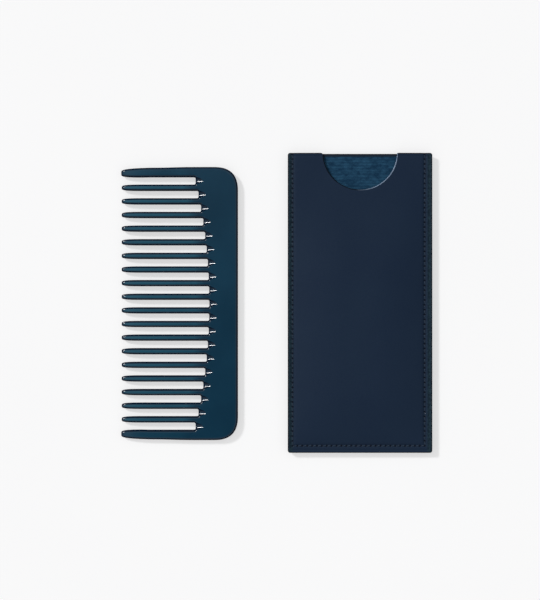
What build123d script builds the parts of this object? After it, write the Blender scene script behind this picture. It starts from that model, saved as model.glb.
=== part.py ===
from build123d import *
import os
from math import sqrt

# Beard comb with the stitched leather sleeve that carries it, laid side by side.
# Millimetres. +X runs from the comb to the sleeve, +Y towards the sleeve's mouth, +Z up.
# The origin is at the centre of the set, on the surface it lies on.

# ---- Driving dimensions: set ----
set_width = 131.0  # comb tips to the sleeve's right edge

# ---- Driving dimensions: comb ----
comb_length = 115.0  # over the two end teeth
comb_depth = 49.2  # end teeth's tips to the back of the spine
comb_thickness = 3.6
comb_centre_y = -0.3
tooth_count = 20
tooth_pitch = 5.74
tooth_gap = 3.08
end_tooth_extra = 0.2  # the end teeth reach this much further than the others
end_tooth_draw_in = 0.3  # how far an end tooth's outer edge has come in at the taper
gullet_depth_middle = 37.2  # end teeth's tips to the bottom of the middle gaps
gullet_arc_radius = 232.0  # the gaps end on this arc, bowed towards the spine
gullet_corner_radius = 0.7
spine_corner_setback = 9.7
edge_round = 1.15  # polished rounding of every outline edge, both faces

# ---- Driving dimensions: tapered tooth tips ----
taper_length = 12.0
taper_stations = (0.03, 0.12, 0.35, 0.8, 1.6, 3.0, 5.2, 8.2)
slim_width_power, slim_width_root = 5.0, 0.25
end_width_power, end_width_root = 2.4, 0.2
thickness_power, thickness_root = 2.2, 0.32
section_round_share = 0.9  # corner radius of a tooth's section, as a share of its half-size

# ---- Driving dimensions: file cuts where two teeth meet ----
# Each is a lying cone, given by its length past the gap's end, its radius there
# and how far its axis stands outside the face.
scoop_length = 6.1
scoop_radius = 2.1
scoop_axis_lift = 1.0
bevel_length = 1.7
bevel_radius = 1.7
bevel_axis_lift = 0.2

# ---- Driving dimensions: sleeve ----
sleeve_width = 60.8
sleeve_length = 126.2
sleeve_corner_radius = 1.0
leather_thickness = 0.8
lining_thickness = 0.3
pocket_height = 4.2
back_dip = 1.5  # the share of the pocket's height below the seam's plane
slope_run = 2.2  # the walls of the pocket reach full height over this distance
flange_past_stitches = 0.6
thumb_notch_radius = 15.5

# ---- Driving dimensions: stitching ----
stitch_pitch = 2.04
stitch_length = 1.6
stitch_width = 0.5
stitch_height = 0.25
left_seam_margin = 2.0
right_seam_margin = 3.2
bottom_seam_margin = 3.0
first_stitch_from_mouth = 0.7

# ---- Derived places ----
comb_tip_x = -set_width / 2
spine_x = comb_tip_x + comb_depth
comb_half = comb_length / 2
tooth_width = tooth_pitch - tooth_gap
outer_gap_y = (tooth_count - 2) / 2 * tooth_pitch
end_tooth_width = comb_half - outer_gap_y - tooth_gap / 2
finger_x = comb_tip_x + end_tooth_extra + taper_length
sleeve_left = set_width / 2 - sleeve_width
sleeve_right = set_width / 2
sleeve_x = (sleeve_left + sleeve_right) / 2
mouth_y = sleeve_length / 2
seam_z = back_dip + lining_thickness + leather_thickness
front_rise = pocket_height - back_dip
past_mouth = 30.0  # how far the pocket's cutters run out of the mouth


def gap_places():
    """The centre height of each gap between two teeth, from the lowest up."""
    return [-outer_gap_y + i * tooth_pitch for i in range(tooth_count - 1)]


def gullet_x(y):
    """Where the gap at height y ends, on the arc bowed towards the spine."""
    sagitta = gullet_arc_radius - sqrt(gullet_arc_radius**2 - y**2)
    return comb_tip_x + gullet_depth_middle - sagitta


def comb_blank():
    """The comb's plate with its rounded spine corners, cut off where the teeth begin to taper."""
    inner = comb_half - end_tooth_draw_in
    straight_x = gullet_x(outer_gap_y)
    bend_x = (finger_x + straight_x) / 2
    corner_x = spine_x - spine_corner_setback
    corner_y = comb_half - spine_corner_setback
    outline = (
        Bezier((finger_x, -inner), (bend_x, -inner), (bend_x, -comb_half), (straight_x, -comb_half))
        + Line((straight_x, -comb_half), (corner_x, -comb_half))
        + Bezier((corner_x, -comb_half), (spine_x, -comb_half), (spine_x, -corner_y))
        + Line((spine_x, -corner_y), (spine_x, corner_y))
        + Bezier((spine_x, corner_y), (spine_x, comb_half), (corner_x, comb_half))
        + Line((corner_x, comb_half), (straight_x, comb_half))
        + Bezier((straight_x, comb_half), (bend_x, comb_half), (bend_x, inner), (finger_x, inner))
        + Line((finger_x, inner), (finger_x, -inner))
    )
    return make_face(outline)


def gap_cut(y):
    """The outline of one sawn gap, with small rounded corners at its closed end."""
    start_x = finger_x - taper_length
    length = gullet_x(y) - start_x
    slot = Pos(start_x + length / 2, y) * Rectangle(length, tooth_gap)
    closed_end = slot.vertices().group_by(Axis.X)[-1]
    return fillet(closed_end, gullet_corner_radius)


def comb_fingers():
    """The plate with its gaps cut and every edge that runs along a face rounded."""
    flat = comb_blank() - [gap_cut(y) for y in gap_places()]
    plate = extrude(flat, comb_thickness)
    faces = plate.faces().sort_by(Axis.Z)
    rims = [e for face in (faces[0], faces[-1]) for e in face.edges()]
    cut_ends = [e for e in rims if e.bounding_box().max.X < finger_x + 0.01]
    return fillet([e for e in rims if e not in cut_ends], edge_round)


def bullet(share, power, root):
    """A blunt rounded profile that grows from 0 at share 0 to 1 at share 1."""
    return (1 - (1 - share) ** power) ** root


def tooth_section(x, y, half_width, half_thickness):
    """A tooth's rounded section across X."""
    corner = min(edge_round, section_round_share * min(half_width, half_thickness))
    plane = Plane((x, y, comb_thickness / 2), x_dir=(0, 1, 0), z_dir=(1, 0, 0))
    return plane * RectangleRounded(2 * half_width, 2 * half_thickness, corner)


def tooth_tip(root_y, tip_y, half_width, extra, width_power, width_root):
    """The tapered end of one tooth, from its blunt tip up to the straight finger."""
    length = taper_length + extra
    sections = []
    for distance in (*taper_stations, length):
        share = distance / length
        sections.append(
            tooth_section(
                finger_x - length + distance,
                tip_y + (root_y - tip_y) * share,
                half_width * bullet(share, width_power, width_root),
                comb_thickness / 2 * bullet(share, thickness_power, thickness_root),
            )
        )
    return loft(sections, ruled=True)


def tooth_tips():
    """The ends of all the teeth: the slim ones between the gaps and the two wide end teeth."""
    slim = [y + tooth_pitch / 2 for y in gap_places()[:-1]]
    tips = [tooth_tip(y, y, tooth_width / 2, 0.0, slim_width_power, slim_width_root) for y in slim]
    end_width = end_tooth_width - end_tooth_draw_in
    end_y = comb_half - end_tooth_width + end_width / 2
    for side in (-1, 1):
        root_y = side * end_y
        tip_y = side * (end_y - end_tooth_draw_in)
        tips.append(
            tooth_tip(root_y, tip_y, end_width / 2, end_tooth_extra, end_width_power, end_width_root)
        )
    return tips


def file_cut(y, axis_z, radius, length):
    """A cone lying along X, its wide end just inside one gap."""
    overlap = 0.3
    wide_radius = radius * (length + overlap) / length
    middle_x = gullet_x(y) + (length - overlap) / 2
    lying = Plane((middle_x, y, axis_z), x_dir=(0, 1, 0), z_dir=(1, 0, 0))
    return lying * Cone(wide_radius, 0, length + overlap)


def file_cuts(y, face_z, side):
    """The long shallow cut and the short steep one that ease a gap's closed end into a face."""
    return [
        file_cut(y, face_z + side * scoop_axis_lift, scoop_radius, scoop_length),
        file_cut(y, face_z + side * bevel_axis_lift, bevel_radius, bevel_length),
    ]


def comb():
    """The whole comb as one solid, flat on the surface."""
    solid = comb_fingers() + tooth_tips()
    cuts = []
    for y in gap_places():
        cuts += file_cuts(y, comb_thickness, 1)
        cuts += file_cuts(y, 0, -1)
    return solid - cuts


def tooth_regions():
    """A block round each tooth, from below its tip to where its gaps' rounded corners begin."""
    gaps = gap_places()
    edges = [-comb_length, *gaps, comb_length]
    regions = []
    for low, high in zip(edges, edges[1:]):
        furthest_gap = max(abs(y) for y in (low, high) if y in gaps)
        root_x = gullet_x(furthest_gap) - gullet_corner_radius
        size_x = root_x - comb_tip_x + comb_thickness
        block = Box(size_x, high - low, 3 * comb_thickness)
        regions.append(Pos(root_x - size_x / 2, (low + high) / 2, comb_thickness / 2) * block)
    return regions


def comb_nodes():
    """The comb as three nodes that meet face to face, so that its gaps stay open in collision."""
    whole = comb()
    place = Pos(0, comb_centre_y, 0)
    teeth = [place * (whole & region).solids()[0] for region in tooth_regions()]
    return {
        "comb_spine": place * (whole - tooth_regions()),
        "slim_teeth": Compound(children=teeth[1:-1]),
        "end_teeth": Compound(children=[teeth[0], teeth[-1]]),
    }


def sleeve_slab(low, high):
    """The sleeve's outline as a flat slab between two heights."""
    outline = RectangleRounded(sleeve_width, sleeve_length, sleeve_corner_radius)
    return Pos(sleeve_x, 0, low) * extrude(outline, high - low)


def pocket_block(low, high):
    """The raised space over the pocket, sloped at the sewn sides and open past the mouth."""
    left = sleeve_left + left_seam_margin + flange_past_stitches
    right = sleeve_right - right_seam_margin - flange_past_stitches
    bottom = -mouth_y + bottom_seam_margin + flange_past_stitches
    top = mouth_y + past_mouth

    def outline(inset, z):
        width = right - left - 2 * inset
        length = top - bottom - 2 * inset
        return Pos((left + right) / 2, (top + bottom) / 2, z) * Rectangle(width, length)

    return loft([outline(0, low), outline(slope_run, high)], ruled=True)


def layer(near, thickness, rise):
    """One sheet above the seam's plane: flat along the seams, raised over the pocket."""
    over = sleeve_slab(-1, near + thickness) + pocket_block(near + thickness, near + thickness + rise)
    under = sleeve_slab(-1, near) + pocket_block(near, near + rise)
    reach = sleeve_slab(-1, near + thickness + rise)
    return (over & reach) - under


def thumb_notch():
    """The half-round cut in the mouth's front edge that bares the comb's end."""
    return Pos(sleeve_x, mouth_y, 0) * Cylinder(thumb_notch_radius, 50)


def front(near, thickness):
    """A front sheet, with the thumb notch cut, in its place."""
    return Pos(0, 0, seam_z) * (layer(near, thickness, front_rise) - thumb_notch())


def back(near, thickness):
    """A back sheet, which mirrors the front one below the seam's plane, in its place."""
    return Pos(0, 0, seam_z) * mirror(layer(near, thickness, back_dip), about=Plane.XY)


def seam_runs():
    """The three straight runs of stitching, each with its start, direction and length."""
    left_x = sleeve_left + left_seam_margin
    right_x = sleeve_right - right_seam_margin
    low_y = -mouth_y + bottom_seam_margin
    high_y = mouth_y - first_stitch_from_mouth
    return (
        (Vector(left_x, high_y), Vector(0, -1), high_y - low_y),
        (Vector(left_x, low_y), Vector(1, 0), right_x - left_x),
        (Vector(right_x, low_y), Vector(0, 1), high_y - low_y),
    )


def stitches(low_z):
    """A thread's visible stitches as separate short bars, their undersides at low_z."""
    bars = []
    for start, along, length in seam_runs():
        count = round(length / stitch_pitch)
        pitch = length / count
        size_x = stitch_length if along.X else stitch_width
        size_y = stitch_width if along.X else stitch_length
        for i in range(count):
            middle = start + along * (pitch * (i + 0.5))
            bar = Box(size_x, size_y, stitch_height)
            bars.append(Pos(middle.X, middle.Y, low_z + stitch_height / 2) * bar)
    return Compound(children=bars)


seam_half = lining_thickness + leather_thickness
nodes = {
    **comb_nodes(),
    "front_panel": front(lining_thickness, leather_thickness),
    "front_lining": front(0, lining_thickness),
    "back_lining": back(0, lining_thickness),
    "back_panel": back(lining_thickness, leather_thickness),
    "needle_thread": stitches(seam_z + seam_half),
    "bobbin_thread": stitches(seam_z - seam_half - stitch_height),
}

os.makedirs("parts", exist_ok=True)
for name, shape in nodes.items():
    export_step(shape, f"parts/{name}.step")
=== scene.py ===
import math

import bmesh
import bpy
import numpy as np
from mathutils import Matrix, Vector
from mathutils.bvhtree import BVHTree


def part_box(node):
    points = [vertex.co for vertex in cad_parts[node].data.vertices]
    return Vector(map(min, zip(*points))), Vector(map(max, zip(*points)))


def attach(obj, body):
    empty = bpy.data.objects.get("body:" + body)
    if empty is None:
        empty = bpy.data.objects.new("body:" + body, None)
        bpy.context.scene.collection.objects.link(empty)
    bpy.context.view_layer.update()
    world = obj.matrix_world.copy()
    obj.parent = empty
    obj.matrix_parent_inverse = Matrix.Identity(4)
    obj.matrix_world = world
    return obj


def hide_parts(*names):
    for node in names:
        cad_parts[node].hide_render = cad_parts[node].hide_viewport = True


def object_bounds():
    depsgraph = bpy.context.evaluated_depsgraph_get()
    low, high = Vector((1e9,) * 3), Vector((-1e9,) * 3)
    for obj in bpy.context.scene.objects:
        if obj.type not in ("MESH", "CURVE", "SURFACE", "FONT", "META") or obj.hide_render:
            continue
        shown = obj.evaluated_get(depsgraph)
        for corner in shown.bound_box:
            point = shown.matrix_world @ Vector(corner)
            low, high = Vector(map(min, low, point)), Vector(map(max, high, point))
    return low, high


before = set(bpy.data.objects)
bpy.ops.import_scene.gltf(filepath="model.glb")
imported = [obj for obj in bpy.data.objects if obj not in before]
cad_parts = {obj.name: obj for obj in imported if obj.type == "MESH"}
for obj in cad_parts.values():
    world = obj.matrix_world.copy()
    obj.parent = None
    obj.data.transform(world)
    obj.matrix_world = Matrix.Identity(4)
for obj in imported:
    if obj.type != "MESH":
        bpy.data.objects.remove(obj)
cad_low, cad_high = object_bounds()

MM = 0.001

# ---- Sizes that the frame's boxes don't give ----
STITCH_WIDTH = 0.5 * MM
STITCH_PITCH = 2.04 * MM
THUMB_NOTCH_RADIUS = 15.5 * MM
SLEEVE_CORNER_RADIUS = 1.0 * MM
FIRST_STITCH_FROM_MOUTH = 0.7 * MM

# ---- Places and sizes read from the frame ----
sleeve_low, sleeve_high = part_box("back_panel")
sleeve_x = (sleeve_low.x + sleeve_high.x) / 2
mouth_y = sleeve_high.y
front_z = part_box("front_panel")[1].z
back_z = sleeve_low.z
leather_thickness = front_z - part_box("front_lining")[1].z
thread_low, thread_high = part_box("needle_thread")
left_seam_x = thread_low.x + STITCH_WIDTH / 2
right_seam_x = thread_high.x - STITCH_WIDTH / 2
low_seam_y = thread_low.y + STITCH_WIDTH / 2
high_seam_y = mouth_y - FIRST_STITCH_FROM_MOUTH
seam_top_z = thread_low.z
seam_low_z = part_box("bobbin_thread")[1].z
seam_z = (seam_top_z + seam_low_z) / 2


# ---- Mesh helpers ----


def add_mesh(name, points, faces, smooth=True):
    """A new mesh object at the origin, with its place in its vertices."""
    mesh = bpy.data.meshes.new(name)
    mesh.from_pydata(points, [], faces)
    mesh.update()
    if smooth:
        mesh.shade_smooth()
    piece = bpy.data.objects.new(name, mesh)
    bpy.context.scene.collection.objects.link(piece)
    return piece


RIM_LINES = np.array([0, 0.02, 0.07, 0.15, 0.25, 0.37, 0.5]) * MM  # the grid's first lines at an edge


def graded(start, stop, margin, fine, coarse):
    """Coordinates from start to stop: finest at both ends, fine in a margin, coarse between."""
    inner = np.linspace(RIM_LINES[-1], margin, round(margin / fine) + 1)[1:]
    ends = np.concatenate([RIM_LINES, inner])
    middle = np.linspace(start + margin, stop - margin, round((stop - start - 2 * margin) / coarse) + 1)
    return np.concatenate([start + ends, middle[1:-1], (stop - ends)[::-1]])


def ease(t):
    """A smooth step from 0 to 1."""
    t = np.clip(t, 0, 1)
    return t * t * t * (t * (6 * t - 15) + 10)


# ---- The sleeve's surfaces ----

SWELL_RUN = 20 * MM  # from a seam to where the pocket is at full height
SWELL_START = 0.3 * MM
SWELL_POWER = 1.9
MOUTH_SETTLE = 62 * MM  # the empty pocket settles flat over this length towards its mouth
MOUTH_SHARE = 0.12  # the share of its height that is left at the mouth
NOTCH_CORNER_LEFT = 1.2 * MM
NOTCH_CORNER_RIGHT = 0.5 * MM
NOTCH_COLUMNS = 56  # the grid's columns over the notch
NOTCH_BLEND = 42 * MM  # the grid's rows bend to the notch over this length
CORNER_BLEND = 4 * MM  # and to the sleeve's rounded corners over this one
EDGE_MARGIN = 7 * MM  # how far the grid's fine lines reach in from an edge
FINE_LINE = 0.32 * MM
COARSE_COLUMN = 1.1 * MM
COARSE_ROW = 0.6 * MM
GROOVE_DEPTH = 0.28 * MM  # where the thread pulls the leather in
GROOVE_WIDTH = 0.75 * MM
CREASE_INSET = 1.3 * MM  # the line creased along the edges
CREASE_DEPTH = 0.2 * MM
CREASE_WIDTH = 0.28 * MM
UNDULATION = 0.045 * MM  # the depth of the leather's slow waves
WAVE_AMPLITUDE = 1.6  # the two waves' amplitudes together


def crown(distance):
    """A rise from 0 to 1 that is steepest just past the seam."""
    t = np.clip((distance - SWELL_START) / SWELL_RUN, 0, 1)
    return 1 - (1 - t) ** SWELL_POWER


def swell(x, y):
    """How far the pocket is open: 0 along the seams, 1 over its middle, little at its mouth."""
    settled = 1 - (1 - MOUTH_SHARE) * ease((y - mouth_y + MOUTH_SETTLE) / MOUTH_SETTLE)
    return crown(x - left_seam_x) * crown(right_seam_x - x) * crown(y - low_seam_y) * settled


def seam_distance(x, y):
    """The distance to the nearest line of stitching."""
    sides = np.minimum(np.abs(x - left_seam_x), np.abs(x - right_seam_x))
    beside = np.maximum(0, low_seam_y - y)
    to_sides = np.hypot(sides, beside)
    past = np.maximum(0, np.maximum(left_seam_x - x, x - right_seam_x))
    to_low = np.hypot(np.abs(y - low_seam_y), past)
    return np.minimum(to_sides, to_low)


def edge_distance(x, y):
    """The distance in from the sleeve's outline, round its corners too."""
    middle_y = (sleeve_low.y + mouth_y) / 2
    over_x = np.abs(x - sleeve_x) - (sleeve_high.x - sleeve_x - SLEEVE_CORNER_RADIUS)
    over_y = np.abs(y - middle_y) - (mouth_y - middle_y - SLEEVE_CORNER_RADIUS)
    outside = np.hypot(np.maximum(over_x, 0), np.maximum(over_y, 0))
    return SLEEVE_CORNER_RADIUS - outside - np.minimum(np.maximum(over_x, over_y), 0)


def rim_distance(x, y, notched):
    """The distance in from the nearest cut edge of one layer."""
    inset = edge_distance(x, y)
    if notched:
        inset = np.minimum(inset, np.hypot(x - sleeve_x, y - mouth_y) - THUMB_NOTCH_RADIUS)
    return np.clip(inset, 0, None)


def leather_relief(x, y):
    """How far the leather's outer face sinks: along the thread and the edge crease, and in slow waves."""
    groove = GROOVE_DEPTH * np.exp(-((seam_distance(x, y) / GROOVE_WIDTH) ** 2))
    crease = CREASE_DEPTH * np.exp(-(((edge_distance(x, y) - CREASE_INSET) / CREASE_WIDTH) ** 2))
    u, v = x / MM, y / MM
    waves = np.sin(0.11 * u + 0.07 * v + 1.3) + (WAVE_AMPLITUDE - 1) * np.sin(0.19 * v - 0.09 * u + 0.4)
    wave_share = (WAVE_AMPLITUDE + waves) / (2 * WAVE_AMPLITUDE)
    return groove + crease + UNDULATION * wave_share * swell(x, y)


def columns(notched):
    """The grid's X lines, closer near the edges and spread round the notch's arc."""
    if not notched:
        return graded(sleeve_low.x, sleeve_high.x, EDGE_MARGIN, FINE_LINE, COARSE_COLUMN)
    notch_left, notch_right = sleeve_x - THUMB_NOTCH_RADIUS, sleeve_x + THUMB_NOTCH_RADIUS
    turn = np.linspace(0, math.pi, NOTCH_COLUMNS + 1)
    arc = sleeve_x - THUMB_NOTCH_RADIUS * np.cos(turn)
    left = graded(sleeve_low.x, notch_left, EDGE_MARGIN, FINE_LINE, COARSE_COLUMN)
    right = graded(notch_right, sleeve_high.x, EDGE_MARGIN, FINE_LINE, COARSE_COLUMN)
    return np.concatenate([left[:-1], arc, right[1:]])


def rounding(inset, radius):
    """How far a corner of this radius falls back, this far in from its side."""
    reach = np.clip(radius - inset, 0, radius)
    return radius - np.sqrt(radius**2 - reach**2)


def corner_cut(x):
    """How much the sleeve's rounded corners take off a column's end."""
    inset = np.minimum(x - sleeve_low.x, sleeve_high.x - x)
    return rounding(inset, SLEEVE_CORNER_RADIUS)


def notch_depth(x):
    """How far the thumb notch and its two rounded shoulders come down from the mouth."""
    arc = np.sqrt(np.clip(THUMB_NOTCH_RADIUS**2 - (x - sleeve_x) ** 2, 0, None))
    left = rounding(sleeve_x - THUMB_NOTCH_RADIUS - x, NOTCH_CORNER_LEFT)
    right = rounding(x - sleeve_x - THUMB_NOTCH_RADIUS, NOTCH_CORNER_RIGHT)
    shoulder = np.where(x < sleeve_x, left, right)
    return np.maximum(arc, shoulder)


def sleeve_grid(notched):
    """X and Y of a grid over the sleeve's outline, its last row following the mouth's edge."""
    x_lines = columns(notched)
    y_lines = graded(sleeve_low.y, mouth_y, EDGE_MARGIN, FINE_LINE, COARSE_ROW)
    x, y = np.meshgrid(x_lines, y_lines)
    cut = corner_cut(x)
    near_mouth = ease((y - mouth_y + CORNER_BLEND) / CORNER_BLEND)
    near_foot = ease((sleeve_low.y + CORNER_BLEND - y) / CORNER_BLEND)
    shaped = y - cut * near_mouth + cut * near_foot
    if notched:
        shaped -= notch_depth(x) * ease((y - mouth_y + NOTCH_BLEND) / NOTCH_BLEND)
    return x, shaped


PAINT_REACH = 0.34 * MM  # how far the edge paint comes in over the faces


def closed_sheet(name, x, y, upper, lower, rim):
    """A closed sheet between two height fields over one grid. Its walls, and the faces within
    PAINT_REACH of the rim, take the second material."""
    rows, cols = x.shape
    top = np.stack([x, y, upper], axis=-1).reshape(-1, 3)
    bottom = np.stack([x, y, lower], axis=-1).reshape(-1, 3)
    index = np.arange(rows * cols).reshape(rows, cols)
    a, b = index[:-1, :-1].ravel(), index[:-1, 1:].ravel()
    c, d = index[1:, 1:].ravel(), index[1:, :-1].ravel()
    shift = rows * cols
    upward = np.stack([a, b, c, d], axis=-1)
    downward = np.stack([d, c, b, a], axis=-1) + shift
    loop = np.concatenate([index[0, :-1], index[:-1, -1], index[-1, :0:-1], index[:0:-1, 0]])
    after = np.roll(loop, -1)
    walls = np.stack([loop, loop + shift, after + shift, after], axis=-1)
    faces = np.concatenate([upward, downward, walls])
    piece = add_mesh(name, np.concatenate([top, bottom]).tolist(), faces.tolist())
    corner_rim = rim.ravel()[upward]
    near_rim = corner_rim.mean(axis=1) < PAINT_REACH
    kinds = np.concatenate([near_rim, near_rim, np.ones(len(walls), bool)]).astype(np.int32)
    piece.data.polygons.foreach_set("material_index", kinds)
    return piece


# ---- Sleeve pieces ----


RIM_RADIUS = 0.5 * MM
BACK_MOUTH_INSET = 0.35 * MM  # the back panel stops this far short of the front panel's mouth


def leather_heights(x, y, front):
    """The leather's upper and lower faces over the grid, for the front or the back panel."""
    open_share = swell(x, y)
    fall = rounding(rim_distance(x, y, front), RIM_RADIUS)
    if front:
        outer = seam_top_z + (front_z - seam_top_z) * open_share
        return outer - leather_relief(x, y) - fall, outer - leather_thickness
    outer = seam_low_z + (back_z - seam_low_z) * open_share
    relief = leather_relief(x, y) * (1 - open_share)
    return outer + leather_thickness, outer + relief + fall


def mouth_inset(y, depth):
    """Pulls a layer's grid in from the mouth, evenly along its length."""
    return y - depth * (y - sleeve_low.y) / (mouth_y - sleeve_low.y)


def leather_panel(name, front):
    """One leather panel, crowned over the pocket, its cut edges rounded over."""
    x, y = sleeve_grid(front)
    upper, lower = leather_heights(x, y, front)
    rim = rim_distance(x, y, front)
    if not front:
        y = mouth_inset(y, BACK_MOUTH_INSET)
    return closed_sheet(name, x, y, upper, lower, rim)


RIB_PITCH = 1.25 * MM
RIB_HEIGHT = 0.035 * MM
LINING_THICKNESS = 0.26 * MM
LINING_INSET = 1.1 * MM  # from the mouth's edge down to the lining's
CLEAR = 0.02 * MM  # between a lining and its panel


def lining_sheet(name, front):
    """One ribbed textile lining, lying on its panel's inner face."""
    x, y = sleeve_grid(front)
    rim = rim_distance(x, y, front)
    y = mouth_inset(y, LINING_INSET)
    upper, lower = leather_heights(x, y, front)
    ribs = RIB_HEIGHT * np.sin(2 * math.pi * y / RIB_PITCH)
    if front:
        top = lower - CLEAR
        return closed_sheet(name, x, y, top, top - LINING_THICKNESS + ribs, rim)
    base = upper + CLEAR
    return closed_sheet(name, x, y, base + LINING_THICKNESS + ribs, base, rim)


def seam_runs():
    """The three straight runs of stitching as start, direction and length."""
    return (
        (np.array([left_seam_x, high_seam_y]), np.array([0.0, -1.0]), high_seam_y - low_seam_y),
        (np.array([left_seam_x, low_seam_y]), np.array([1.0, 0.0]), right_seam_x - left_seam_x),
        (np.array([right_seam_x, low_seam_y]), np.array([0.0, 1.0]), high_seam_y - low_seam_y),
    )


PLY_COUNT = 3
PLY_RADIUS = 0.11 * MM
PLY_OFFSET = 0.10 * MM  # from the thread's middle to a ply's
PLY_SIDES = 6
PLY_RINGS = 13
PLY_TURNS = 1.25  # in one stitch
END_SHRINK = 0.25  # how much thinner the thread is where it enters a hole
STITCH_SHARE = 0.94  # of the pitch, from the stitch's one end to its other
STITCH_SLANT = 0.26 * MM
STITCH_RISE = 0.10 * MM
STITCH_DIVE = 0.45 * MM


def stitch_plies(start, along, pitch, surface_z, side):
    """The twisted plies of one stitch: up out of one hole, over the leather and down the next."""
    across = np.array([-along[1], along[0]])
    share = np.linspace(0, 1, PLY_RINGS)
    from_middle = 2 * share - 1
    lift = STITCH_RISE - (STITCH_RISE + STITCH_DIVE) * np.abs(from_middle) ** 5
    run = pitch * (STITCH_SHARE * share + (1 - STITCH_SHARE) / 2)
    middle = start + np.outer(run, along) + np.outer(STITCH_SLANT * from_middle, across)
    reach = 1 - END_SHRINK * np.abs(from_middle) ** 4
    points, faces = [], []
    ring_turn = np.linspace(0, 2 * math.pi, PLY_SIDES, endpoint=False)
    for ply in range(PLY_COUNT):
        turn = 2 * math.pi * (ply / PLY_COUNT + PLY_TURNS * share)
        first = len(points)
        for i in range(PLY_RINGS):
            for angle in ring_turn:
                sideways = reach[i] * (PLY_OFFSET * math.cos(turn[i]) + PLY_RADIUS * math.cos(angle))
                upward = reach[i] * (PLY_OFFSET * math.sin(turn[i]) + PLY_RADIUS * math.sin(angle))
                place = middle[i] + across * sideways
                points.append((place[0], place[1], surface_z + side * (lift[i] + upward)))
        for i in range(PLY_RINGS - 1):
            for k in range(PLY_SIDES):
                a = first + i * PLY_SIDES + k
                b = first + i * PLY_SIDES + (k + 1) % PLY_SIDES
                faces.append((a, b, b + PLY_SIDES, a + PLY_SIDES)[::side])
        last = first + (PLY_RINGS - 1) * PLY_SIDES
        faces.append(tuple(range(first, first + PLY_SIDES))[::-side])
        faces.append(tuple(range(last, last + PLY_SIDES))[::side])
    return points, faces


def seam_thread(name, front):
    """All the stitches that one thread shows on its side of the sleeve."""
    side = 1 if front else -1
    surface_z = seam_top_z - GROOVE_DEPTH if front else seam_low_z + GROOVE_DEPTH
    points, faces = [], []
    for start, along, length in seam_runs():
        count = round(length / STITCH_PITCH)
        pitch = length / count
        for i in range(count):
            new_points, new_faces = stitch_plies(start + along * pitch * i, along, pitch, surface_z, side)
            first = len(points)
            points += new_points
            faces += [tuple(first + v for v in face) for face in new_faces]
    return add_mesh(name, points, faces)


# ---- The comb ----

COMB_NODES = ("comb_spine", "slim_teeth", "end_teeth")
TOUCHING = 0.004 * MM
OPPOSED = -0.99  # two faces whose normals' dot product is below this face each other
FLAT_NORMAL = 0.9999  # the normal's Z on the comb's flat faces is above this
CREASE_ANGLE = math.radians(22)  # edges sharper than this stay sharp
FLAT_CREASE_ANGLE = math.radians(12)  # beside the flat faces, where the file cuts begin


def polished_comb(name):
    """The comb as the one polished piece it is: its three CAD nodes joined where they meet."""
    meshes = [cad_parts[node].data for node in COMB_NODES]
    shells = []
    for mesh in meshes:
        shell_points = [vertex.co.copy() for vertex in mesh.vertices]
        shells.append((shell_points, [tuple(face.vertices) for face in mesh.polygons]))
    surfaces = [BVHTree.FromPolygons(*shell) for shell in shells]
    points, faces = [], []
    for mesh, (shell_points, shell_faces), own in zip(meshes, shells, surfaces):
        first = len(points)
        points += shell_points
        others = [surface for surface in surfaces if surface is not own]
        for face, corners in zip(mesh.polygons, shell_faces):
            nearest = [surface.find_nearest(face.center, TOUCHING) for surface in others]
            inside = any(hit[0] is not None and hit[1].dot(face.normal) < OPPOSED for hit in nearest)
            if not inside:
                faces.append(tuple(first + corner for corner in corners))
    piece = add_mesh(name, points, faces)
    shell = bmesh.new()
    shell.from_mesh(piece.data)
    bmesh.ops.remove_doubles(shell, verts=shell.verts, dist=TOUCHING)
    shell.normal_update()
    for edge in shell.edges:
        beside_flat = any(abs(face.normal.z) > FLAT_NORMAL for face in edge.link_faces)
        limit = FLAT_CREASE_ANGLE if beside_flat else CREASE_ANGLE
        edge.smooth = edge.calc_face_angle(math.pi) < limit
    shell.to_mesh(piece.data)
    shell.free()
    weighted = piece.modifiers.new("polish", "WEIGHTED_NORMAL")
    weighted.keep_sharp = True
    weighted.weight = 100  # the largest faces decide a shared normal
    return piece


# ---- Material helpers ----


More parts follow.
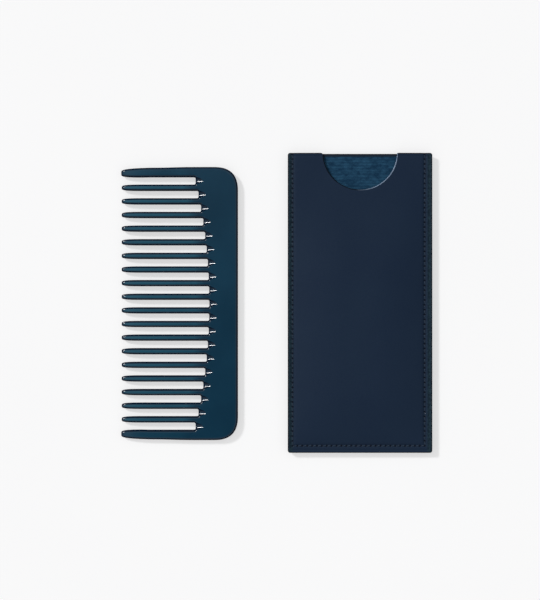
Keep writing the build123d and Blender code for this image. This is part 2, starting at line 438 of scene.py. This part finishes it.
class Nodes:
    """A short way to build one material's node tree."""

    def __init__(self, name):
        self.material = bpy.data.materials.new(name)
        self.material.use_nodes = True
        self.tree = self.material.node_tree
        self.surface = self.tree.nodes["Principled BSDF"]
        place = self.tree.nodes.new("ShaderNodeTexCoord")
        self.place = place.outputs["Object"]

    def link(self, source, target):
        self.tree.links.new(source, target)

    def add(self, kind, settings=None, **inputs):
        """A node with its settings, and its inputs set or linked by name, or by place as i0, i1 and so on."""
        node = self.tree.nodes.new(kind)
        for key, value in (settings or {}).items():
            setattr(node, key, value)
        for key, value in inputs.items():
            by_place = key[0] == "i" and key[1:].isdigit()
            socket = node.inputs[int(key[1:]) if by_place else key]
            if isinstance(value, bpy.types.NodeSocket):
                self.link(value, socket)
            else:
                socket.default_value = value
        return node

    def math(self, operation, a, b=0.0, c=0.0):
        return self.add("ShaderNodeMath", {"operation": operation}, i0=a, i1=b, i2=c).outputs[0]

    def noise(self, scale, detail=2.0, roughness=0.5, vector=None):
        keys = {"Vector": vector or self.place, "Scale": scale, "Detail": detail, "Roughness": roughness}
        return self.add("ShaderNodeTexNoise", None, **keys).outputs["Fac"]

    def spread(self, value, low, high, out_low=0.0, out_high=1.0):
        """Maps a value's range onto another, clamped."""
        keys = {"Value": value, "From Min": low, "From Max": high, "To Min": out_low, "To Max": out_high}
        return self.add("ShaderNodeMapRange", None, **keys).outputs[0]

    def blend(self, share, a, b):
        """A colour between a and b."""
        node = self.add("ShaderNodeMix", {"data_type": "RGBA"}, i0=share, i6=a, i7=b)
        return node.outputs[2]

    def bump(self, height, strength, distance, normal=None):
        keys = {"Height": height, "Strength": strength, "Distance": distance}
        if normal is not None:
            keys["Normal"] = normal
        return self.add("ShaderNodeBump", None, **keys).outputs[0]

    def stretched(self, x, y, z):
        """The object's coordinates, scaled along each axis."""
        keys = {"Vector": self.place, "Scale": (x, y, z)}
        return self.add("ShaderNodeMapping", None, **keys).outputs[0]

    def split(self):
        """The object's X, Y and Z."""
        return self.add("ShaderNodeSeparateXYZ", None, Vector=self.place).outputs[:3]


def display(red, green, blue):
    """A colour as it shows on a screen, 0 to 255, as a shader's colour."""
    linear = []
    for value in (red, green, blue):
        share = value / 255
        linear.append(share / 12.92 if share <= 0.04045 else ((share + 0.055) / 1.055) ** 2.4)
    return (*linear, 1.0)


# ---- Materials ----


ROOT_ARC_RADIUS = 232 * MM  # the gaps end on this arc
TOOTH_FADE = (-5 * MM, -1 * MM)  # the painted light on the teeth (a lighter blue) fades out here, short of that arc
END_TOOTH_SHARE = 0.25  # how much of that painted light the end teeth have
END_TOOTH_FADE = 0.5 * MM  # past the slim teeth, it falls to that share over this distance
RIM_SHADE_NORMALS = (0.88, 0.997)  # the normal's Z where the rim's painted shade (deep blue) is full, and where it ends
# painted shade: a deeper blue on the tilted rims, where the surface turns away from the light
RIM_SHADE_BLUE = display(0, 26, 48)
SPINE_BLUES = (display(12, 52, 74), display(18, 60, 83))
# painted light: a lighter blue along the slim teeth, for the light scattered in their thin crowns
TOOTH_LIT_BLUES = (display(26, 78, 100), display(34, 88, 110))


def acetate():
    """Deep blue polished acetate, with painted shade deepest along its rims and painted light making it
    lighter along the slim teeth.
    """
    n = Nodes("acetate")
    x, y, _ = n.split()
    slim_low, slim_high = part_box("slim_teeth")
    aside = n.math("SUBTRACT", y, (slim_low.y + slim_high.y) / 2)
    bow = n.math("DIVIDE", n.math("MULTIPLY", aside, aside), 2 * ROOT_ARC_RADIUS)
    from_root = n.math("SUBTRACT", n.math("ADD", x, bow), slim_high.x)
    along_teeth = n.spread(from_root, *TOOTH_FADE, 1.0, 0.0)
    half_run = (slim_high.y - slim_low.y) / 2
    off_middle = n.math("ABSOLUTE", aside)
    among_slim = n.spread(off_middle, half_run, half_run + END_TOOTH_FADE, 1.0, END_TOOTH_SHARE)
    in_lit_teeth = n.math("MULTIPLY", along_teeth, among_slim)
    facing = n.add("ShaderNodeNewGeometry").outputs["Normal"]
    upright = n.math("ABSOLUTE", n.add("ShaderNodeSeparateXYZ", None, Vector=facing).outputs[2])
    off_rim_shade = n.spread(upright, *RIM_SHADE_NORMALS)
    cloud = n.spread(n.noise(38, 3), 0.35, 0.65)
    # painted light along the teeth
    body = n.blend(in_lit_teeth, n.blend(cloud, *SPINE_BLUES), n.blend(cloud, *TOOTH_LIT_BLUES))
    # painted shade on the rims, by how far the surface tilts
    shade = n.blend(off_rim_shade, RIM_SHADE_BLUE, body)
    n.link(shade, n.surface.inputs["Base Color"])
    n.link(n.spread(n.noise(900, 4), 0.3, 0.7, 0.15, 0.18), n.surface.inputs["Roughness"])
    n.surface.inputs["IOR"].default_value = 1.45
    n.link(n.bump(n.noise(160, 2), 0.06, 0.05 * MM), n.surface.inputs["Normal"])
    return n.material


HOLE_RADIUS = 0.58 * MM  # out to where a needle hole's shade ends
CUT_LIP = 0.4 * MM
LIT_SIDE = (0.8, -0.6)  # the painted highlight on the notch's lip is strongest on this side of its middle, where the key light falls on it
LIT_FROM, LIT_FULLY = 0.5 * THUMB_NOTCH_RADIUS, 0.9 * THUMB_NOTCH_RADIUS
# painted highlight: the pale blue of the notch's lit lip
LIT_LIP_BLUE = display(112, 134, 162)


def notch_lip_highlight(n):
    """1 on the thumb notch's cut lip at its lower right, where the key light falls on the cut edge, fading to
    0: the mask of a painted highlight.
    """
    x, y, z = n.split()
    across = n.math("SUBTRACT", x, sleeve_x)
    along = n.math("SUBTRACT", y, mouth_y)
    squares = n.math("ADD", n.math("MULTIPLY", across, across), n.math("MULTIPLY", along, along))
    reach = n.math("SUBTRACT", n.math("SQRT", squares), THUMB_NOTCH_RADIUS)
    lip = n.spread(n.math("ABSOLUTE", reach), 0.5 * CUT_LIP, CUT_LIP, 1.0, 0.0)
    in_front = n.math("GREATER_THAN", z, seam_z)
    lean_x = n.math("MULTIPLY", across, LIT_SIDE[0])
    lean_y = n.math("MULTIPLY", along, LIT_SIDE[1])
    # the side of the notch where the painted highlight falls
    side_mark = n.spread(n.math("ADD", lean_x, lean_y), LIT_FROM, LIT_FULLY)
    return n.math("MULTIPLY", n.math("MULTIPLY", lip, side_mark), in_front)


def seam_pits(n):
    """1 at each needle hole, fading to 0 just past it: the mask of the painted shade in the holes."""
    x, y, _ = n.split()
    pits = []
    for start, along, length in seam_runs():
        pitch = length / round(length / STITCH_PITCH)
        run, off = (x, y) if along[0] else (y, x)
        run_start, off_line = (start[0], start[1]) if along[0] else (start[1], start[0])
        phase = n.math("WRAP", n.math("SUBTRACT", run, float(run_start)), pitch / 2, -pitch / 2)
        aside = n.math("SUBTRACT", off, float(off_line))
        squares = n.math("ADD", n.math("MULTIPLY", phase, phase), n.math("MULTIPLY", aside, aside))
        pits.append(n.spread(n.math("SQRT", squares), 0.5 * HOLE_RADIUS, HOLE_RADIUS, 1.0, 0.0))
    in_side = n.math("GREATER_THAN", y, low_seam_y - HOLE_RADIUS)
    sides = n.math("MULTIPLY", n.math("MAXIMUM", pits[0], pits[2]), in_side)
    in_left = n.math("GREATER_THAN", x, left_seam_x - HOLE_RADIUS)
    in_right = n.math("LESS_THAN", x, right_seam_x + HOLE_RADIUS)
    low = n.math("MULTIPLY", n.math("MULTIPLY", pits[1], in_left), in_right)
    return n.math("MAXIMUM", sides, low)


MARGIN_FADE = (1.6 * MM, 2.6 * MM)  # how far in from a side its margin starts to fade, and ends
MARGIN_SHARE = 0.75
NAVIES = (display(20, 38, 61), display(24, 42, 64))
FLECK_NAVY = display(28, 46, 69)
MARGIN_GREENS = (display(14, 34, 44), display(36, 60, 70))
# painted shade: the dark inside the needle holes
PIT_SHADE_NAVY = display(2, 11, 30)


def leather():
    """Smooth matte navy leather: a fine pebbled grain, greenish side margins, needle holes darkened with
    painted shade, and a painted highlight on the thumb notch's lip.
    """
    n = Nodes("leather")
    x, y, _ = n.split()
    tone = n.blend(n.spread(n.noise(45, 4), 0.3, 0.7), *NAVIES)
    fleck = n.spread(n.noise(2600, 2), 0.35, 0.7, 0.0, 0.35)
    tone = n.blend(fleck, tone, FLECK_NAVY)
    inset = n.math("MINIMUM", n.math("SUBTRACT", x, sleeve_low.x), n.math("SUBTRACT", sleeve_high.x, x))
    margin = n.spread(inset, *MARGIN_FADE, 1.0, 0.0)
    side_mark = n.blend(n.spread(n.noise(1300, 3), 0.42, 0.62), *MARGIN_GREENS)
    tone = n.blend(n.math("MULTIPLY", margin, MARGIN_SHARE), tone, side_mark)
    # painted highlight on the notch's lip
    tone = n.blend(notch_lip_highlight(n), tone, LIT_LIP_BLUE)
    pits = seam_pits(n)
    # painted shade in the needle holes
    n.link(n.blend(pits, tone, PIT_SHADE_NAVY), n.surface.inputs["Base Color"])
    n.link(n.spread(n.noise(1500, 3), 0.3, 0.7, 0.55, 0.7), n.surface.inputs["Roughness"])
    n.surface.inputs["Specular IOR Level"].default_value = 0.15
    keys = {"Vector": n.place, "Scale": 2300.0, "Smoothness": 0.6}
    grain = n.add("ShaderNodeTexVoronoi", {"feature": "SMOOTH_F1"}, **keys).outputs["Distance"]
    fine = n.bump(grain, 0.22, 0.03 * MM)
    slow = n.bump(n.noise(420, 3), 0.25, 0.05 * MM, fine)
    n.link(n.bump(n.math("SUBTRACT", 1.0, pits), 0.9, 0.15 * MM, slow), n.surface.inputs["Normal"])
    return n.material


PAINTS = (display(6, 12, 20), display(16, 25, 37))
# painted highlight on the notch's painted edge
LIT_LIP_PAINTS = (LIT_LIP_BLUE, display(160, 178, 200))


def edge_paint():
    """The sleeve's cut edges: dark paint, with a pale painted highlight on the thumb notch's lip where the
    key light falls on it.
    """
    n = Nodes("edge_paint")
    wear = n.spread(n.noise(700, 4), 0.4, 0.75)
    shade = n.blend(notch_lip_highlight(n), n.blend(wear, *PAINTS), n.blend(wear, *LIT_LIP_PAINTS))
    n.link(shade, n.surface.inputs["Base Color"])
    n.link(n.spread(n.noise(1800, 2), 0.3, 0.7, 0.45, 0.6), n.surface.inputs["Roughness"])
    n.surface.inputs["Specular IOR Level"].default_value = 0.2
    n.link(n.bump(n.noise(1300, 3), 0.3, 0.04 * MM), n.surface.inputs["Normal"])
    return n.material


WARP_PITCH = 0.42 * MM
WEFT_PITCH = 0.36 * MM
LINING_BLUES = (display(4, 39, 66), display(40, 82, 111))
RIB_BLUE = display(9, 40, 66)
WEAVE_BLUE = display(44, 88, 118)


def lining():
    """Blue ribbed lining: a fine weave with ribs across the sleeve and a mottled dye."""
    n = Nodes("lining")
    x, y, _ = n.split()
    ribs = n.math("SINE", n.math("MULTIPLY", y, 2 * math.pi / RIB_PITCH))
    warp = n.math("SINE", n.math("MULTIPLY", x, 2 * math.pi / WARP_PITCH))
    weft = n.math("SINE", n.math("MULTIPLY", y, 2 * math.pi / WEFT_PITCH))
    weave = n.math("MULTIPLY", warp, weft)
    mottle = n.noise(560, 3, 0.6, n.stretched(0.7, 1.2, 1.0))
    shade = n.blend(n.spread(mottle, 0.36, 0.64), *LINING_BLUES)
    shade = n.blend(n.spread(ribs, -1.0, 1.0, 0.0, 0.5), shade, RIB_BLUE)
    shade = n.blend(n.spread(weave, -1.0, 1.0, 0.0, 0.4), shade, WEAVE_BLUE)
    n.link(shade, n.surface.inputs["Base Color"])
    n.surface.inputs["Roughness"].default_value = 0.85
    n.surface.inputs["Sheen Weight"].default_value = 0.04
    n.surface.inputs["Specular IOR Level"].default_value = 0.1
    n.link(n.bump(weave, 0.5, 0.05 * MM), n.surface.inputs["Normal"])
    return n.material


THREAD_NAVIES = (display(18, 36, 56), display(40, 62, 86))


def thread():
    """Twisted navy polyester thread with a slight sheen."""
    n = Nodes("thread")
    fibres = n.noise(4200, 3, 0.6)
    shade = n.blend(n.spread(fibres, 0.3, 0.7), *THREAD_NAVIES)
    n.link(shade, n.surface.inputs["Base Color"])
    n.surface.inputs["Roughness"].default_value = 0.55
    n.surface.inputs["Sheen Weight"].default_value = 0.05
    n.link(n.bump(fibres, 0.4, 0.02 * MM), n.surface.inputs["Normal"])
    return n.material


# ---- Floor, light and camera ----

FLOOR_HALF = 1.6  # in metres, as are the camera's sizes
FLOOR_Z = -0.02 * MM
FLOOR_GREYS = (display(186, 186, 187), display(190, 190, 191))
CAMERA_HEIGHT = 0.70  # above the view plane
CAMERA_VIEW_HEIGHT = 0.2525  # how much the camera sees from top to bottom at the view plane
CAMERA_SENSOR = 36  # in millimetres
VIEW_PLANE_Z = 3 * MM
CAMERA_OFFSET = (-2.8 * MM, 1.2 * MM)  # from the middle of the set
KEY_DIRECTION = (-0.62, 0.45, 0.66)  # towards the key light
KEY_SIZE_DEGREES = 9
KEY_STRENGTH = 1.75
SKY_STRENGTH = 0.5
FLOOR_GLOW = 0.565
OVERHEAD_TILT_DEGREES = 8  # how far the dark patch leans towards the set's foot
# The sky's levels by height, from 0 at the horizon and all below it to 1 in the middle of the dark patch.
SKY_LEVELS = ((0.0, 0.12), (0.35, 0.3), (0.55, 1.0), (0.945, 1.0), (0.993, 0.1))


def floor():
    """The pale light table that the set lies on: lit from above and glowing softly itself."""
    low, high = -FLOOR_HALF, FLOOR_HALF
    corners = [(low, low, FLOOR_Z), (high, low, FLOOR_Z), (high, high, FLOOR_Z), (low, high, FLOOR_Z)]
    plane = add_mesh("floor", corners, [(0, 1, 2, 3)], smooth=False)
    n = Nodes("floor")
    n.link(n.blend(n.noise(6, 2), *FLOOR_GREYS), n.surface.inputs["Base Color"])
    n.surface.inputs["Roughness"].default_value = 0.9
    n.surface.inputs["Specular IOR Level"].default_value = 0.0
    n.surface.inputs["Emission Color"].default_value = (1, 1, 1, 1)
    n.surface.inputs["Emission Strength"].default_value = FLOOR_GLOW
    plane.data.materials.append(n.material)
    plane.visible_glossy = False  # so that the polished rims don't mirror it


def sky():
    """A wide soft light above the set, with a dark patch overhead where a copy stand's camera is."""
    world = bpy.data.worlds.new("sky")
    bpy.context.scene.world = world
    world.use_nodes = True
    tree = world.node_tree
    background = tree.nodes["Background"]
    place = tree.nodes.new("ShaderNodeTexCoord")
    lean = tree.nodes.new("ShaderNodeMapping")
    lean.inputs["Rotation"].default_value = (math.radians(-OVERHEAD_TILT_DEGREES), 0, 0)
    split = tree.nodes.new("ShaderNodeSeparateXYZ")
    ramp = tree.nodes.new("ShaderNodeValToRGB")
    tree.links.new(place.outputs["Generated"], lean.inputs["Vector"])
    tree.links.new(lean.outputs["Vector"], split.inputs[0])
    tree.links.new(split.outputs["Z"], ramp.inputs["Fac"])
    tree.links.new(ramp.outputs["Color"], background.inputs["Color"])
    while len(ramp.color_ramp.elements) < len(SKY_LEVELS):
        ramp.color_ramp.elements.new(0.5)
    for element, (position, level) in zip(ramp.color_ramp.elements, SKY_LEVELS):
        element.position = position
        element.color = (level, level, level, 1)
    background.inputs["Strength"].default_value = SKY_STRENGTH


def key_light():
    """The studio light from the upper left."""
    light = bpy.data.lights.new("key", "SUN")
    light.energy = KEY_STRENGTH
    light.angle = math.radians(KEY_SIZE_DEGREES)
    lamp = bpy.data.objects.new("key", light)
    lamp.rotation_euler = Vector(KEY_DIRECTION).to_track_quat("Z", "Y").to_euler()
    bpy.context.scene.collection.objects.link(lamp)


def camera():
    """A camera straight above the set, looking down."""
    data = bpy.data.cameras.new("camera")
    data.sensor_width = CAMERA_SENSOR
    data.lens = CAMERA_SENSOR * CAMERA_HEIGHT / CAMERA_VIEW_HEIGHT
    data.clip_start = 0.01
    data.clip_end = 10
    eye = bpy.data.objects.new("camera", data)
    eye_x = (cad_low.x + cad_high.x) / 2 + CAMERA_OFFSET[0]
    eye_y = (cad_low.y + cad_high.y) / 2 + CAMERA_OFFSET[1]
    eye.location = (eye_x, eye_y, CAMERA_HEIGHT + VIEW_PLANE_Z)
    bpy.context.scene.collection.objects.link(eye)
    bpy.context.scene.camera = eye


# ---- Putting it together ----


def finish_piece(piece, body, materials, nodes):
    """Gives a piece its materials, its body and the CAD nodes that it stands for."""
    for material in materials:
        piece.data.materials.append(material)
    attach(piece, body)
    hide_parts(*nodes)


bpy.context.scene.view_settings.view_transform = "Standard"
camera()
key_light()
sky()
floor()

leather_finish = leather()
paint_finish = edge_paint()
lining_finish = lining()
thread_finish = thread()
sleeve_width = sleeve_high.x - sleeve_low.x
sleeve_length = sleeve_high.y - sleeve_low.y

comb = polished_comb("acetate_comb")
finish_piece(comb, "comb", [acetate()], COMB_NODES)

for panel, is_front in (("front_panel", True), ("back_panel", False)):
    piece = leather_panel("leather_" + panel, is_front)
    finish_piece(piece, "sleeve", [leather_finish, paint_finish], [panel])

for layer, is_front in (("front_lining", True), ("back_lining", False)):
    piece = lining_sheet("cloth_" + layer, is_front)
    # the linings' cut edges take the dark edge paint; along the mouth that dark line is also painted shade,
    # for the shade in the gap at the lining's edge
    finish_piece(piece, "sleeve", [lining_finish, paint_finish], [layer])
    panel = "leather_front_panel" if is_front else "leather_back_panel"
    area = sleeve_width * sleeve_length
    if is_front:
        area -= math.pi * THUMB_NOTCH_RADIUS**2 / 2

for strand, is_front in (("needle_thread", True), ("bobbin_thread", False)):
    piece = seam_thread("sewn_" + strand, is_front)
    finish_piece(piece, "sleeve", [thread_finish], [strand])
